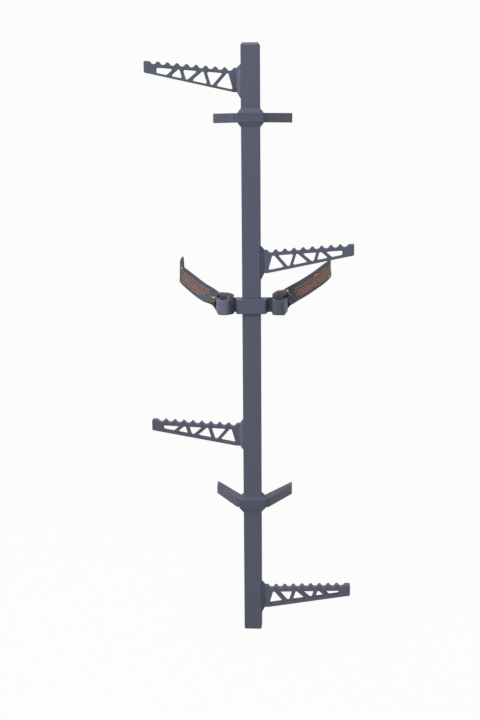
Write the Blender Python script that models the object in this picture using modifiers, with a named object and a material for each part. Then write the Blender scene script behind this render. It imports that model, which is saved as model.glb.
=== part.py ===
# Strap-on climbing stick: a square post that stands off a tree trunk, with truss steps,
# two V brackets that bear on the trunk and a hook bracket that carries two webbing strap leads.
# Frame: +X to the climber's right, +Y towards the trunk, +Z up, origin under the middle of the post.
import math

import bmesh
import bpy
from mathutils import Matrix, Vector

MM = 0.001

# Fits
SEAT_GAP = 0.3 * MM            # between pieces that are welded or pressed together

# Post and its end caps
POST_LENGTH = 1006.6 * MM      # over both caps
POST_WIDTH = 30.0 * MM
POST_WALL = 2.0 * MM
POST_CORNER = 2.0 * MM
CAP_HEAD = 3.2 * MM
CAP_CHAMFER = 2.2 * MM
CAP_PLUG = 18.0 * MM
CAP_WALL = 2.4 * MM

# Places along the post; a step is measured at the flat land of its tread's root
BOTTOM_STEP_RISE = 79.3 * MM   # foot of the post to the bottom step
LOWER_BRACKET_RISE = 154.0 * MM    # bottom step to the lower V bracket's middle
LOWER_STEP_RISE = 141.8 * MM   # lower V bracket's middle to the lower step
STRAP_RISE = 205.1 * MM        # lower step to the hook bracket's middle
UPPER_STEP_RISE = 93.5 * MM    # hook bracket's middle to the upper step
TOP_STEP_DROP = 38.5 * MM      # top of the post down to the top step
UPPER_BRACKET_DROP = 78.4 * MM     # top step down to the upper V bracket's middle

# Steps: cut from a truss profile, tread scalloped for grip
STEP_LENGTH = 154.8 * MM       # from the post's face to the tip
STEP_THICKNESS = 12.0 * MM     # front to back
STEP_SET_FORWARD = 4.4 * MM    # middle of the step's root, ahead of the post's middle
STEP_LEAN = math.radians(7.0)  # in plan, tips away from the trunk
TREAD_RISE = 11.8 * MM         # tip above root
STEP_ROOT_HEIGHT = 37.6 * MM
STEP_TIP_HEIGHT = 18.0 * MM
STEP_ROOT_FLAT = 11.9 * MM
STEP_TIP_FLAT = 9.4 * MM
STEP_CORNER = 1.4 * MM
SCALLOPS = 9
SCALLOP_DEPTH = 4.6 * MM
SCALLOP_LAND = 3.5 * MM
SCALLOP_POINTS = 7
LAND_CORNER = 1.3 * MM
UPPER_CHORD_ROOT = 4.3 * MM    # metal left under the scallops, at the root and at the tip
UPPER_CHORD_TIP = 4.8 * MM
LOWER_CHORD = 3.7 * MM
STRUT = 4.4 * MM
# Head and foot of each strut's middle line, as shares of the step's length
FORWARD_STRUTS = ((0.168, 0.279), (0.424, 0.535), (0.674, 0.752))
BACK_STRUTS = ((0.373, 0.333), (0.619, 0.591))
ROOT_WEB = 13.0 * MM           # solid metal at the root, along the lower chord
ROOT_WEB_TOP = 20.2 * MM       # and along the upper chord
TIP_WEB = 18.8 * MM
HOLE_CORNER = 2.4 * MM
STEP_WELD_REACH = 6.4 * MM     # along the step
STEP_WELD_TOP = 6.8 * MM       # along the post, above the step
STEP_WELD_BOTTOM = 8.6 * MM
STEP_WELD_SIDE = 3.4 * MM
WELD_EDGE = 0.7 * MM           # thickness where a weld bead runs out

# V brackets that bear on the trunk
BRACKET_DEPTH = 14.4 * MM      # length of the cut profile, along the post
BRACKET_FRONT_WALL = 3.0 * MM
BRACKET_SIDE_WALL = 6.2 * MM
BRACKET_CORNER = 1.6 * MM
SHOULDER_START = 8.0 * MM      # behind the bracket's front face
SHOULDER_OUT = 6.8 * MM
SHOULDER_BACK = 5.5 * MM
SHOULDER_ROUND = 5.0 * MM
ARM_SPAN = 66.6 * MM           # from the middle of the post to an arm's end
ARM_OUTER_REACH = 67.0 * MM    # end of an arm's outer face behind the post's middle
ARM_TIP_REACH = 86.0 * MM
ARM_ROOT_WALL = 7.0 * MM       # beside the post at the root of the V
ARM_TIP_ROUND = 0.8 * MM
BRACKET_WELD_RISE = 7.4 * MM
BRACKET_WELD_REACH = 6.0 * MM

# Hook bracket for the strap
STRAP_BRACKET_DEPTH = 24.2 * MM
COLLAR_FRONT_WALL = 3.2 * MM
COLLAR_SIDE_WALL = 9.4 * MM
COLLAR_FLARE = 3.8 * MM
COLLAR_ROUND = 3.0 * MM
COLLAR_BACK = 10.3 * MM        # rear face, behind the post's middle
HOOK_WALL = 4.6 * MM
HOOK_OUT = 60.0 * MM           # outermost face, at the heel
HOOK_WIDTH = 21.0 * MM         # over the round front limb
HOOK_SLANT = 3.8 * MM          # the limb's outer face, inboard of the heel's
HOOK_FRONT = 29.8 * MM         # ahead of the post's middle
HOOK_LIP = 8.0 * MM            # straight run of the free tip
HOOK_HEEL_ROUND = 7.0 * MM
COLLAR_WELD_LEG = 4.6 * MM

# Webbing strap leads
WEBBING_WIDTH = 29.6 * MM
WEBBING_THICKNESS = 2.4 * MM
WEBBING_LAYER_GAP = 0.6 * MM
EYE_WIDTHS = {"left": 22.2 * MM, "right": 18.0 * MM}     # webbing is pinched where it wraps the hook
EYE_SIDE_GAP = 2.4 * MM        # webbing to the hook's outer wall, at the heel
EYE_CLEARANCE = 3.6 * MM       # eye to hook, at the front and below
EYE_TIGHT = 0.9 * MM           # eye to hook at the inboard edge, which the pull of the lead draws in
EYE_SPREAD = 18.0 * MM         # from the heel bar to where the webbing has its full width
PATH_STEP = 6.0 * MM           # spacing of the samples along the webbing
WEBBING_COLUMNS = 4

# Stations of each lead's middle line from the hook's heel bar: outboard, back and up,
# and how far its width has turned from lying across the hook to standing upright
LEAD_ROUTES = {
    "left": (
        (5.0 * MM, 12.0 * MM, -0.6 * MM, 5),
        (13.3 * MM, 30.0 * MM, -0.2 * MM, 13),
        (27.5 * MM, 60.0 * MM, 2.0 * MM, 31),
        (41.1 * MM, 88.0 * MM, 4.2 * MM, 51),
        (53.9 * MM, 114.0 * MM, 7.0 * MM, 60),
        (75.5 * MM, 160.0 * MM, 14.2 * MM, 63),
        (91.6 * MM, 194.0 * MM, 20.4 * MM, 72),
        (101.2 * MM, 215.0 * MM, 24.6 * MM, 82),
        (107.0 * MM, 243.0 * MM, 29.6 * MM, 88),
        (107.2 * MM, 268.0 * MM, 32.9 * MM, 91),
        (105.2 * MM, 291.0 * MM, 34.8 * MM, 93),
    ),
    "right": (
        (2.4 * MM, 12.0 * MM, 0.9 * MM, 5),
        (9.5 * MM, 25.0 * MM, 4.4 * MM, 18),
        (21.4 * MM, 42.0 * MM, 10.0 * MM, 38),
        (33.8 * MM, 64.0 * MM, 14.2 * MM, 57),
        (46.3 * MM, 92.0 * MM, 17.6 * MM, 61),
        (55.3 * MM, 114.0 * MM, 20.5 * MM, 64),
        (72.3 * MM, 155.0 * MM, 26.8 * MM, 66),
        (84.3 * MM, 190.0 * MM, 32.0 * MM, 70),
        (91.3 * MM, 215.0 * MM, 35.0 * MM, 82),
        (94.2 * MM, 235.0 * MM, 37.4 * MM, 90),
        (93.8 * MM, 252.0 * MM, 39.2 * MM, 92),
    ),
}
EYE_RISES = {"left": 5.4 * MM, "right": 9.0 * MM}         # eye to hook, at the top of its arch
EYE_LENGTHS = {"left": 50.0 * MM, "right": 42.0 * MM}      # heel bar to the start of the sewn part
FOLD_LENGTHS = {"left": 238.0 * MM, "right": 238.0 * MM}   # heel bar to the end of the sewn fold

# Places that follow from the sizes above
LOWER_BRACKET_HEIGHT = BOTTOM_STEP_RISE + LOWER_BRACKET_RISE
LOWER_STEP_HEIGHT = LOWER_BRACKET_HEIGHT + LOWER_STEP_RISE
STRAP_BRACKET_HEIGHT = LOWER_STEP_HEIGHT + STRAP_RISE
TOP_STEP_HEIGHT = POST_LENGTH - TOP_STEP_DROP
STEP_HEIGHTS = {
    "top_left": TOP_STEP_HEIGHT,
    "upper_right": STRAP_BRACKET_HEIGHT + UPPER_STEP_RISE,
    "lower_left": LOWER_STEP_HEIGHT,
    "bottom_right": BOTTOM_STEP_RISE,
}
BRACKET_HEIGHTS = {"upper": TOP_STEP_HEIGHT - UPPER_BRACKET_DROP, "lower": LOWER_BRACKET_HEIGHT}
POST_HALF = POST_WIDTH / 2
POCKET = POST_HALF + SEAT_GAP
SIDES = {"left": -1, "right": 1}
HEEL_MIDDLE = COLLAR_BACK - HOOK_WALL / 2
HOOK_INSIDE = HOOK_OUT - HOOK_WALL
COLLAR_HALF = POCKET + COLLAR_SIDE_WALL


def clear_scene():
    for item in list(bpy.data.objects):
        bpy.data.objects.remove(item)


def make_collection(name):
    group = bpy.data.collections.new(name)
    bpy.context.scene.collection.children.link(group)
    return group


def make_material(name, colour, roughness, metallic):
    material = bpy.data.materials.new(name)
    material.use_nodes = True
    shader = material.node_tree.nodes["Principled BSDF"]
    shader.inputs["Base Color"].default_value = (*colour, 1.0)
    shader.inputs["Roughness"].default_value = roughness
    shader.inputs["Metallic"].default_value = metallic
    return material


clear_scene()
PARTS = make_collection("climbing_stick")
CUTTERS = make_collection("cutters")
POWDER_COAT = make_material("powder_coat", (0.086, 0.097, 0.133), 0.55, 0.25)
WELD_COAT = make_material("coated_weld", (0.096, 0.107, 0.145), 0.5, 0.25)
CAP_PLASTIC = make_material("cap_plastic", (0.08, 0.09, 0.122), 0.5, 0.0)
WEBBING = make_material("webbing", (0.044, 0.05, 0.075), 0.85, 0.0)

STICK = bpy.data.objects.new("stick", None)
PARTS.objects.link(STICK)


def add_piece(name, mesh, material, place=(0, 0, 0)):
    piece = bpy.data.objects.new(name, mesh)
    piece.location = place
    piece.parent = STICK
    PARTS.objects.link(piece)
    mesh.materials.append(material)
    return piece


def arc(centre, radius, start, end, points):
    """Points on an arc, angles in degrees."""
    turn = math.radians(end - start) / (points - 1)
    first = math.radians(start)
    return [
        (centre[0] + radius * math.cos(first + turn * i), centre[1] + radius * math.sin(first + turn * i))
        for i in range(points)
    ]


def mirrored(points):
    """Outline of the right half, from the front middle round to the back, closed by its mirror image."""
    return list(points) + [(-x, y) for x, y in reversed(points)]


def rounded(points, radius, steps=3):
    """Outline with each corner replaced by an arc, limited to half of the shorter side beside it."""
    corners = [Vector(point) for point in points]
    result = []
    for i, corner in enumerate(corners):
        to_last = corners[i - 1] - corner
        to_next = corners[(i + 1) % len(corners)] - corner
        half_angle = to_last.angle(to_next) / 2
        run = min(radius / math.tan(half_angle), 0.48 * to_last.length, 0.48 * to_next.length)
        start = corner + to_last.normalized() * run
        end = corner + to_next.normalized() * run
        for step in range(steps + 1):
            t = step / steps
            result.append(tuple(start.lerp(corner, t).lerp(corner.lerp(end, t), t)))
    return result


def extrude_outlines(name, outlines, depth):
    """Closed mesh of flat outlines in XY, the first outside and the rest holes, extruded along Z."""
    curve = bpy.data.curves.new(name, "CURVE")
    curve.dimensions = "2D"
    curve.fill_mode = "BOTH"
    curve.extrude = depth / 2
    for outline in outlines:
        spline = curve.splines.new("POLY")
        spline.points.add(len(outline) - 1)
        spline.use_cyclic_u = True
        for point, (x, y) in zip(spline.points, outline):
            point.co = (x, y, 0, 1)
    drawn = bpy.data.objects.new(name, curve)
    PARTS.objects.link(drawn)
    evaluated = drawn.evaluated_get(bpy.context.evaluated_depsgraph_get())
    mesh = bpy.data.meshes.new_from_object(evaluated)
    bpy.data.objects.remove(drawn)
    bpy.data.curves.remove(curve)
    reshape(mesh, Matrix.Identity(4))
    mesh.name = name
    return mesh


def reshape(mesh, matrix):
    """Transform a mesh, merge its loose seams and turn its faces outwards."""
    work = bmesh.new()
    work.from_mesh(mesh)
    bmesh.ops.transform(work, matrix=matrix, verts=work.verts)
    bmesh.ops.remove_doubles(work, verts=work.verts, dist=1e-6)
    bmesh.ops.recalc_face_normals(work, faces=work.faces)
    work.to_mesh(mesh)
    work.free()


def make_frustum(name, base, top):
    """Mesh between two rectangles along Z, each given as its lowest and highest corner."""
    mesh = bpy.data.meshes.new(name)
    work = bmesh.new()
    bmesh.ops.create_cube(work, size=2)
    for vertex in work.verts:
        low, high = top if vertex.co.z > 0 else base
        vertex.co = [high[axis] if vertex.co[axis] > 0 else low[axis] for axis in range(3)]
    bmesh.ops.recalc_face_normals(work, faces=work.faces)
    work.to_mesh(mesh)
    work.free()
    return mesh


def cut(piece, name, low, high, matrix=None):
    """Cut a box out of a piece with a hidden cutter."""
    floor = ((low[0], low[1], low[2]), (high[0], high[1], low[2]))
    roof = ((low[0], low[1], high[2]), (high[0], high[1], high[2]))
    mesh = make_frustum(name, floor, roof)
    if matrix:
        reshape(mesh, matrix)
    cutter = bpy.data.objects.new(name, mesh)
    cutter.location = piece.location
    cutter.parent = STICK
    cutter.hide_render = True
    cutter.display_type = "WIRE"
    CUTTERS.objects.link(cutter)
    modifier = piece.modifiers.new(name, "BOOLEAN")
    modifier.object = cutter
    modifier.operation = "DIFFERENCE"


# Post and caps

def square(half, corner):
    return rounded([(half, -half), (half, half), (-half, half), (-half, -half)], corner)


def build_post():
    length = POST_LENGTH - 2 * (CAP_HEAD + SEAT_GAP)
    inside = POST_HALF - POST_WALL
    bore = square(inside, max(POST_CORNER - POST_WALL, POST_WALL / 4))
    mesh = extrude_outlines("post_tube", [square(POST_HALF, POST_CORNER), bore], length)
    add_piece("post_tube", mesh, POWDER_COAT, (0, 0, POST_LENGTH / 2))


def build_cap(name, height, up):
    """End plug with a chamfered head and a hollow shank; up is 1 at the top and -1 at the foot."""
    shank = POST_HALF - POST_WALL - SEAT_GAP
    shank_end = -CAP_HEAD - CAP_PLUG
    rings = [
        (POST_HALF - CAP_CHAMFER, 0),
        (POST_HALF - CAP_CHAMFER / 3, -CAP_CHAMFER / 3),
        (POST_HALF, -CAP_CHAMFER),
        (POST_HALF, -CAP_HEAD),
        (shank, -CAP_HEAD),
        (shank, shank_end),
        (shank - CAP_WALL, shank_end),
        (shank - CAP_WALL, -CAP_HEAD),
    ]
    mesh = bpy.data.meshes.new(name)
    work = bmesh.new()
    loops = [[work.verts.new((x, y, z)) for x, y in square(half, POST_CORNER)] for half, z in rings]
    for near, far in zip(loops, loops[1:]):
        for i in range(len(near)):
            work.faces.new((near[i - 1], near[i], far[i], far[i - 1]))
    work.faces.new(loops[0])
    work.faces.new(loops[-1])
    work.to_mesh(mesh)
    work.free()
    reshape(mesh, Matrix.Diagonal((1, 1, up, 1)))
    add_piece(name, mesh, CAP_PLASTIC, (0, 0, height))


# Steps

def tread_level(u):
    scalloped = STEP_LENGTH - STEP_TIP_FLAT - STEP_ROOT_FLAT
    return TREAD_RISE * min(max((u - STEP_ROOT_FLAT) / scalloped, 0), 1)


def underside_level(u):
    tip = TREAD_RISE - STEP_TIP_HEIGHT
    return tip - (STEP_LENGTH - u) * (STEP_ROOT_HEIGHT + tip) / (STEP_LENGTH - STEP_ROOT_FLAT)


def step_outline():
    """Side view of a step: u runs out from the post's face, v is up from the tread's root land."""
    first = STEP_ROOT_FLAT
    last = STEP_LENGTH - STEP_TIP_FLAT
    chord = (last - first - (SCALLOPS - 1) * SCALLOP_LAND) / SCALLOPS
    depth = min(SCALLOP_DEPTH, 0.48 * chord)
    radius = (chord * chord / 4 + depth * depth) / (2 * depth)
    sweep = math.degrees(math.asin(chord / 2 / radius))
    points = [(SEAT_GAP, 0)]
    for i in range(SCALLOPS):
        middle = first + chord / 2 + i * (chord + SCALLOP_LAND)
        centre = (middle, tread_level(middle) - depth + radius)
        points += arc(centre, radius, 270 - sweep, 270 + sweep, SCALLOP_POINTS)
    tip = [(STEP_LENGTH, TREAD_RISE), (STEP_LENGTH, TREAD_RISE - STEP_TIP_HEIGHT)]
    root = [(STEP_ROOT_FLAT, -STEP_ROOT_HEIGHT), (SEAT_GAP, -STEP_ROOT_HEIGHT)]
    return soften(points + tip + root)


def soften(points):
    """Round only the corners that stand out: the lands between scallops and the tip."""
    result = []
    for i, point in enumerate(points):
        last, here, following = Vector(points[i - 1]), Vector(point), Vector(points[(i + 1) % len(points)])
        turn = (here - last).angle_signed(following - here)
        at_root = here.x < STEP_ROOT_FLAT * 0.9
        if turn < math.radians(35) or at_root:
            result.append(point)
            continue
        radius = STEP_CORNER if here.x > STEP_LENGTH - STEP_TIP_FLAT / 2 else LAND_CORNER
        run = min(radius, 0.45 * (here - last).length, 0.45 * (following - here).length)
        start = here + (last - here).normalized() * run
        end = here + (following - here).normalized() * run
        result += [tuple(start), tuple((start + end + 2 * here) / 4), tuple(end)]
    return result


def crossing(line_a, line_b):
    """Point where two lines meet, each given as a point and a direction."""
    (ax, ay), (adx, ady) = line_a
    (bx, by), (bdx, bdy) = line_b
    t = ((bx - ax) * bdy - (by - ay) * bdx) / (adx * bdy - ady * bdx)
    return (ax + adx * t, ay + ady * t)


def step_holes():
    """Openings between the struts, from the root web to the solid tip."""
    near, far = ROOT_WEB, STEP_LENGTH - TIP_WEB
    roof_near = tread_level(near) - SCALLOP_DEPTH - UPPER_CHORD_ROOT
    roof_far = tread_level(far) - SCALLOP_DEPTH - UPPER_CHORD_TIP
    roof = ((near, roof_near), (far - near, roof_far - roof_near))
    sill_near = underside_level(near) + LOWER_CHORD
    sill = ((near, sill_near), (far - near, underside_level(far) + LOWER_CHORD - sill_near))

    def between(head, foot, offset=0):
        on_roof = Vector(crossing(roof, ((head, 0), (0, 1))))
        on_sill = Vector(crossing(sill, ((foot, 0), (0, 1))))
        run = (on_sill - on_roof).normalized()
        return ((on_roof.x - offset / run.y, on_roof.y), tuple(run))

    struts = sorted(FORWARD_STRUTS + BACK_STRUTS)
    walls = [between(ROOT_WEB_TOP, ROOT_WEB)]
    for head, foot in struts:
        walls += [between(head * STEP_LENGTH, foot * STEP_LENGTH, side * STRUT / 2) for side in (-1, 1)]
    walls.append(((far, 0), (0, 1)))

    holes = []
    for left, right in zip(walls[0::2], walls[1::2]):
        corners = [crossing(left, sill), crossing(right, sill), crossing(right, roof), crossing(left, roof)]
        if corners[1][0] <= corners[0][0]:
            corners[0:2] = [crossing(left, right)]
        if corners[-2][0] <= corners[-1][0]:
            corners[-2:] = [crossing(left, right)]
        holes.append(rounded(corners, HOLE_CORNER))
    return holes


def step_matrix(side):
    """Stand a side view up against the post: u outboard, v up, and the lean as a shear in plan."""
    matrix = Matrix((
        (side, 0, 0, side * POST_HALF),
        (-math.tan(STEP_LEAN), 0, -1, -STEP_SET_FORWARD),
        (0, 1, 0, 0),
        (0, 0, 0, 1),
    ))
    return matrix


def build_step(place, height):
    side = SIDES[place.split("_")[1]]
    mesh = extrude_outlines("step_" + place, [step_outline()] + step_holes(), STEP_THICKNESS)
    reshape(mesh, step_matrix(side))
    add_piece("step_" + place, mesh, POWDER_COAT, (0, 0, height))


def build_step_weld(place, height):
    """Fillet weld all round a step's root, widest on the post."""
    side = SIDES[place.split("_")[1]]
    half = STEP_THICKNESS / 2
    inner = half + SEAT_GAP
    floor = -STEP_ROOT_HEIGHT
    wide = half + STEP_WELD_SIDE
    thin = inner + WELD_EDGE
    foot = ((floor - STEP_WELD_BOTTOM, -wide, SEAT_GAP), (STEP_WELD_TOP, wide, SEAT_GAP))
    nose_low = floor - SEAT_GAP - WELD_EDGE
    nose = ((nose_low, -thin, STEP_WELD_REACH), (SEAT_GAP + WELD_EDGE, thin, STEP_WELD_REACH))
    mesh = make_frustum("weld", foot, nose)
    # the frustum is drawn with height along X, depth along Y and reach along Z
    turn = Matrix(((0, 0, 1, 0), (1, 0, 0, 0), (0, 1, 0, 0), (0, 0, 0, 1)))
    reshape(mesh, step_matrix(side) @ turn)
    piece = add_piece("step_weld_" + place, mesh, WELD_COAT, (0, 0, height))
    low = (floor - SEAT_GAP, -inner, -STEP_WELD_REACH)
    high = (SEAT_GAP, inner, 2 * STEP_WELD_REACH)
    cut(piece, "step_root_" + place, low, high, step_matrix(side) @ turn)


# V brackets

def build_bracket(name, height):
    front = -(POCKET + BRACKET_FRONT_WALL)
    side = POCKET + BRACKET_SIDE_WALL
    shoulder = front + SHOULDER_START
    root = POCKET + ARM_ROOT_WALL
    outside = [(side, front), (side, shoulder), (side + SHOULDER_OUT, shoulder + SHOULDER_BACK)]
    arm = [(ARM_SPAN, ARM_OUTER_REACH), (ARM_SPAN, ARM_TIP_REACH)]
    inside = [(root, POST_HALF), (POCKET, POST_HALF - ARM_ROOT_WALL / 2)]
    outline = mirrored(
        round_some(outside, BRACKET_CORNER, SHOULDER_ROUND, arm[0])
        + arm + inside + [(POCKET, -POCKET)]
    )
    mesh = extrude_outlines("tree_bracket_" + name, [outline], BRACKET_DEPTH)
    add_piece("tree_bracket_" + name, mesh, POWDER_COAT, (0, 0, height))


def round_some(corners, first_radius, last_radius, beyond):
    """Round a bracket's front corner and the bend where its arm leaves."""
    front, shoulder, bend = corners
    chain = [(0, front[1]), front, shoulder, bend, beyond]
    made = rounded(chain, first_radius)
    shape = rounded(chain, last_radius)
    per_corner = len(made) // len(chain)
    return made[per_corner:2 * per_corner] + [shoulder] + shape[3 * per_corner:4 * per_corner]


def build_bracket_weld(name, height, up):
    """Weld bead round the front and sides of the post, above or below a bracket."""
    outer = POCKET + BRACKET_WELD_REACH
    front = POCKET + BRACKET_FRONT_WALL
    thin = POCKET + WELD_EDGE
    base_z = up * (BRACKET_DEPTH / 2 + SEAT_GAP)
    tip_z = base_z + up * BRACKET_WELD_RISE
    base = ((-outer, -front, base_z), (outer, POST_HALF - SEAT_GAP, base_z))
    tip = ((-thin, -thin, tip_z), (thin, POST_HALF - BRACKET_WELD_REACH, tip_z))
    ends = (base, tip) if up > 0 else (tip, base)
    mesh = make_frustum("weld", *ends)
    side = "top" if up > 0 else "under"
    piece = add_piece("tree_bracket_weld_%s_%s" % (name, side), mesh, WELD_COAT, (0, 0, height))
    low = (-POCKET, -POCKET, -BRACKET_DEPTH - BRACKET_WELD_RISE)
    high = (POCKET, POST_WIDTH, BRACKET_DEPTH + BRACKET_WELD_RISE)
    cut(piece, "post_clearance_%s_%s" % (name, side), low, high)


# Hook bracket

def hook_outline():
    """Right half of the hook bracket's profile, from the front middle to the pocket's front corner."""
    front = -(POCKET + COLLAR_FRONT_WALL)
    heel_front = COLLAR_BACK - HOOK_WALL
    flare_end = COLLAR_HALF + COLLAR_FLARE
    outer_radius = HOOK_WIDTH / 2
    inner_radius = outer_radius - HOOK_WALL
    limb = (HOOK_OUT - HOOK_SLANT - outer_radius, outer_radius - HOOK_FRONT)
    lip_end = limb[1] + HOOK_LIP
    heel_round = HOOK_HEEL_ROUND
    inner_round = heel_round - HOOK_WALL
    heel = (HOOK_OUT - heel_round, COLLAR_BACK - heel_round)
    points = arc((COLLAR_HALF - COLLAR_ROUND, front + COLLAR_ROUND), COLLAR_ROUND, -90, 0, 4)
    points += [(flare_end, heel_front)]
    points += arc(heel, inner_round, 90, 0, 4)
    points += arc(limb, inner_radius, 0, -180, 13)
    lip_middle = (limb[0] - outer_radius + HOOK_WALL / 2, lip_end)
    points += arc(lip_middle, HOOK_WALL / 2, 0, 180, 7)
    points += arc(limb, outer_radius, -180, 0, 17)
    points += arc(heel, heel_round, 0, 90, 6)
    points += [(POCKET, COLLAR_BACK), (POCKET, -POCKET)]
    return points


def build_strap_bracket():
    mesh = extrude_outlines("strap_bracket", [mirrored(hook_outline())], STRAP_BRACKET_DEPTH)
    add_piece("strap_bracket", mesh, POWDER_COAT, (0, 0, STRAP_BRACKET_HEIGHT))


def build_collar_weld(name, side):
    """Upright fillet where the collar's rear face meets the post's side."""
    leg = min(COLLAR_WELD_LEG, POST_HALF - COLLAR_BACK - SEAT_GAP)
    corner = (POCKET, COLLAR_BACK + SEAT_GAP)
    face = arc(corner, leg, 0, 90, 5)
    outline = [corner] + [(x, y) for x, y in face]
    mesh = extrude_outlines("collar_weld_" + name, [outline], STRAP_BRACKET_DEPTH - 2 * WELD_EDGE)
    reshape(mesh, Matrix.Diagonal((side, 1, 1, 1)))
    add_piece("collar_weld_" + name, mesh, WELD_COAT, (0, 0, STRAP_BRACKET_HEIGHT))


# Webbing strap leads

def eye_middle(name):
    """Middle of the gathered webbing, which lies against the hook's outer limb."""
    return HOOK_INSIDE - EYE_SIDE_GAP - EYE_WIDTHS[name] / 2


def eye_profile(length, rise):
    """Side view of the eye round the hook's heel bar: distance behind the bar and height above it."""
    layer = (WEBBING_THICKNESS + WEBBING_LAYER_GAP) / 2
    half = STRAP_BRACKET_DEPTH / 2
    front = -(HOOK_WALL / 2 + EYE_CLEARANCE + WEBBING_THICKNESS / 2)
    points = [Vector((length, layer))]
    over = ((0.75, 0.17), (0.5, 0.5), (0.25, 0.89))
    under = ((0.75, 0.14), (0.5, 0.42), (0.25, 0.84))
    for way, room, shape in ((1, rise, over), (-1, EYE_CLEARANCE, under)):
        reach = half + room + WEBBING_THICKNESS / 2
        leg = [Vector((length * back, way * reach * up)) for back, up in shape]
        bend = ((0, reach), (0.8 * front, 0.94 * reach), (front, 0.6 * reach))
        leg += [Vector((back, way * up)) for back, up in bend]
        points += leg if way > 0 else list(reversed(leg))
    points.append(Vector((length, -layer)))
    return [value[0] for value in smooth([(point, point) for point in points])]


def smooth(stations):
    """Even samples on a smooth curve through stations, each a place and a width direction."""
    gaps = [(b[0] - a[0]).length for a, b in zip(stations, stations[1:])]
    rates = []
    for a, b, gap in zip(stations, stations[1:], gaps):
        rates.append([(b[part] - a[part]) / gap for part in (0, 1)])
    slopes = [rates[0]]
    for i in range(1, len(gaps)):
        share = gaps[i] / (gaps[i] + gaps[i - 1])
        slopes.append([rates[i - 1][part] * share + rates[i][part] * (1 - share) for part in (0, 1)])
    slopes.append(rates[-1])
    result = []
    for i, gap in enumerate(gaps):
        count = max(2, round(gap / PATH_STEP))
        for step in range(count):
            ends = (stations[i], stations[i + 1], slopes[i], slopes[i + 1])
            result.append([hermite(*(end[part] for end in ends), gap, step / count) for part in (0, 1)])
    result.append(stations[-1])
    return result


def hermite(start, end, start_slope, end_slope, gap, t):
    blend = t * t * (3 - 2 * t)
    leave = t * (1 - t) ** 2 * gap
    arrive = t * t * (t - 1) * gap
    return start * (1 - blend) + end * blend + start_slope * leave + end_slope * arrive


class LeadLine:
    """Middle line of a lead, from ahead of the heel bar to the lead's end, with its width direction."""

    def __init__(self, route):
        flat = Vector((-1, 0, 0))
        ahead = EYE_CLEARANCE + HOOK_WALL
        stations = [(Vector((0, back * ahead, 0)), flat) for back in (-2, -1, 0, 0.5)]
        for *point, turn in route:
            turn = math.radians(turn)
            stations.append((Vector(point), Vector((-math.cos(turn), 0, math.sin(turn)))))
        self.samples = smooth(stations)
        self.distances = [-2 * ahead]
        for near, far in zip(self.samples, self.samples[1:]):
            self.distances.append(self.distances[-1] + (far[0] - near[0]).length)

    def frame(self, distance):
        """Place, width direction and outward direction at a distance behind the heel bar."""
        count = len(self.samples)
        i = max(k for k in range(count - 1) if self.distances[k] <= distance or k == 0)
        t = (distance - self.distances[i]) / (self.distances[i + 1] - self.distances[i])
        place = self.samples[i][0].lerp(self.samples[i + 1][0], t)
        across = self.samples[i][1].lerp(self.samples[i + 1][1], t)
        ahead = self.tangent(i).lerp(self.tangent(i + 1), t).normalized()
        width = (across - ahead * across.dot(ahead)).normalized()
        return place, width, ahead.cross(width)

    def tangent(self, i):
        last = len(self.samples) - 1
        return (self.samples[min(i + 1, last)][0] - self.samples[max(i - 1, 0)][0]).normalized()


def even_steps(start, end):
    """Distances after the start, up to and with the end."""
    count = math.ceil((end - start) / PATH_STEP)
    return [start + (end - start) * (i + 1) / count for i in range(count)]


def build_strap(name, side, route):
    """One strip of webbing: the sewn fold, the eye and the lead that goes on round the trunk."""
    line = LeadLine(route)
    layer = (WEBBING_THICKNESS + WEBBING_LAYER_GAP) / 2
    half = (STRAP_BRACKET_DEPTH + WEBBING_THICKNESS) / 2
    start = EYE_LENGTHS[name]
    fold = even_steps(start, FOLD_LENGTHS[name])
    lead = even_steps(start, line.distances[-1])
    strip = [(back, layer) for back in reversed(fold)]
    strip += eye_profile(start, EYE_RISES[name])
    strip += [(back, -layer) for back in lead]
    mesh = bpy.data.meshes.new("strap_" + name)
    work = bmesh.new()
    shares = [column / (WEBBING_COLUMNS - 1) - 0.5 for column in range(WEBBING_COLUMNS)]
    rows = []
    for back, up in strip:
        place, width, outward = line.frame(back)
        opened = min(max(back / start, 0), 1)
        eased = min(max(back / EYE_SPREAD, 0), 1)
        spread = EYE_WIDTHS[name] + (WEBBING_WIDTH - EYE_WIDTHS[name]) * eased * eased * (3 - 2 * eased)
        room = EYE_RISES[name] if up > 0 else EYE_CLEARANCE
        drawn = 1 - (half + EYE_TIGHT) / (half + room)
        row = []
        for share in shares:
            height = up * (1 - drawn * (1 - opened) * (share + 0.5) ** 2)
            row.append(work.verts.new(place + outward * height + width * spread * share))
        rows.append(row)
    for near, far in zip(rows, rows[1:]):
        for column in range(WEBBING_COLUMNS - 1):
            work.faces.new((near[column], near[column + 1], far[column + 1], far[column]))
    work.to_mesh(mesh)
    work.free()
    reshape(mesh, Matrix.Diagonal((side, 1, 1, 1)))
    eye = (side * eye_middle(name), HEEL_MIDDLE, STRAP_BRACKET_HEIGHT)
    piece = add_piece("strap_" + name, mesh, WEBBING, eye)
    solid = piece.modifiers.new("thickness", "SOLIDIFY")
    solid.thickness = WEBBING_THICKNESS
    solid.offset = 0


def main():
    build_post()
    build_cap("top_cap", POST_LENGTH, 1)
    build_cap("bottom_cap", 0, -1)
    for place, height in STEP_HEIGHTS.items():
        build_step(place, height)
        build_step_weld(place, height)
    for name, height in BRACKET_HEIGHTS.items():
        build_bracket(name, height)
        build_bracket_weld(name, height, 1)
        build_bracket_weld(name, height, -1)
    build_strap_bracket()
    for name, side in SIDES.items():
        build_collar_weld(name, side)
        build_strap(name, side, LEAD_ROUTES[name])


main()
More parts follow.
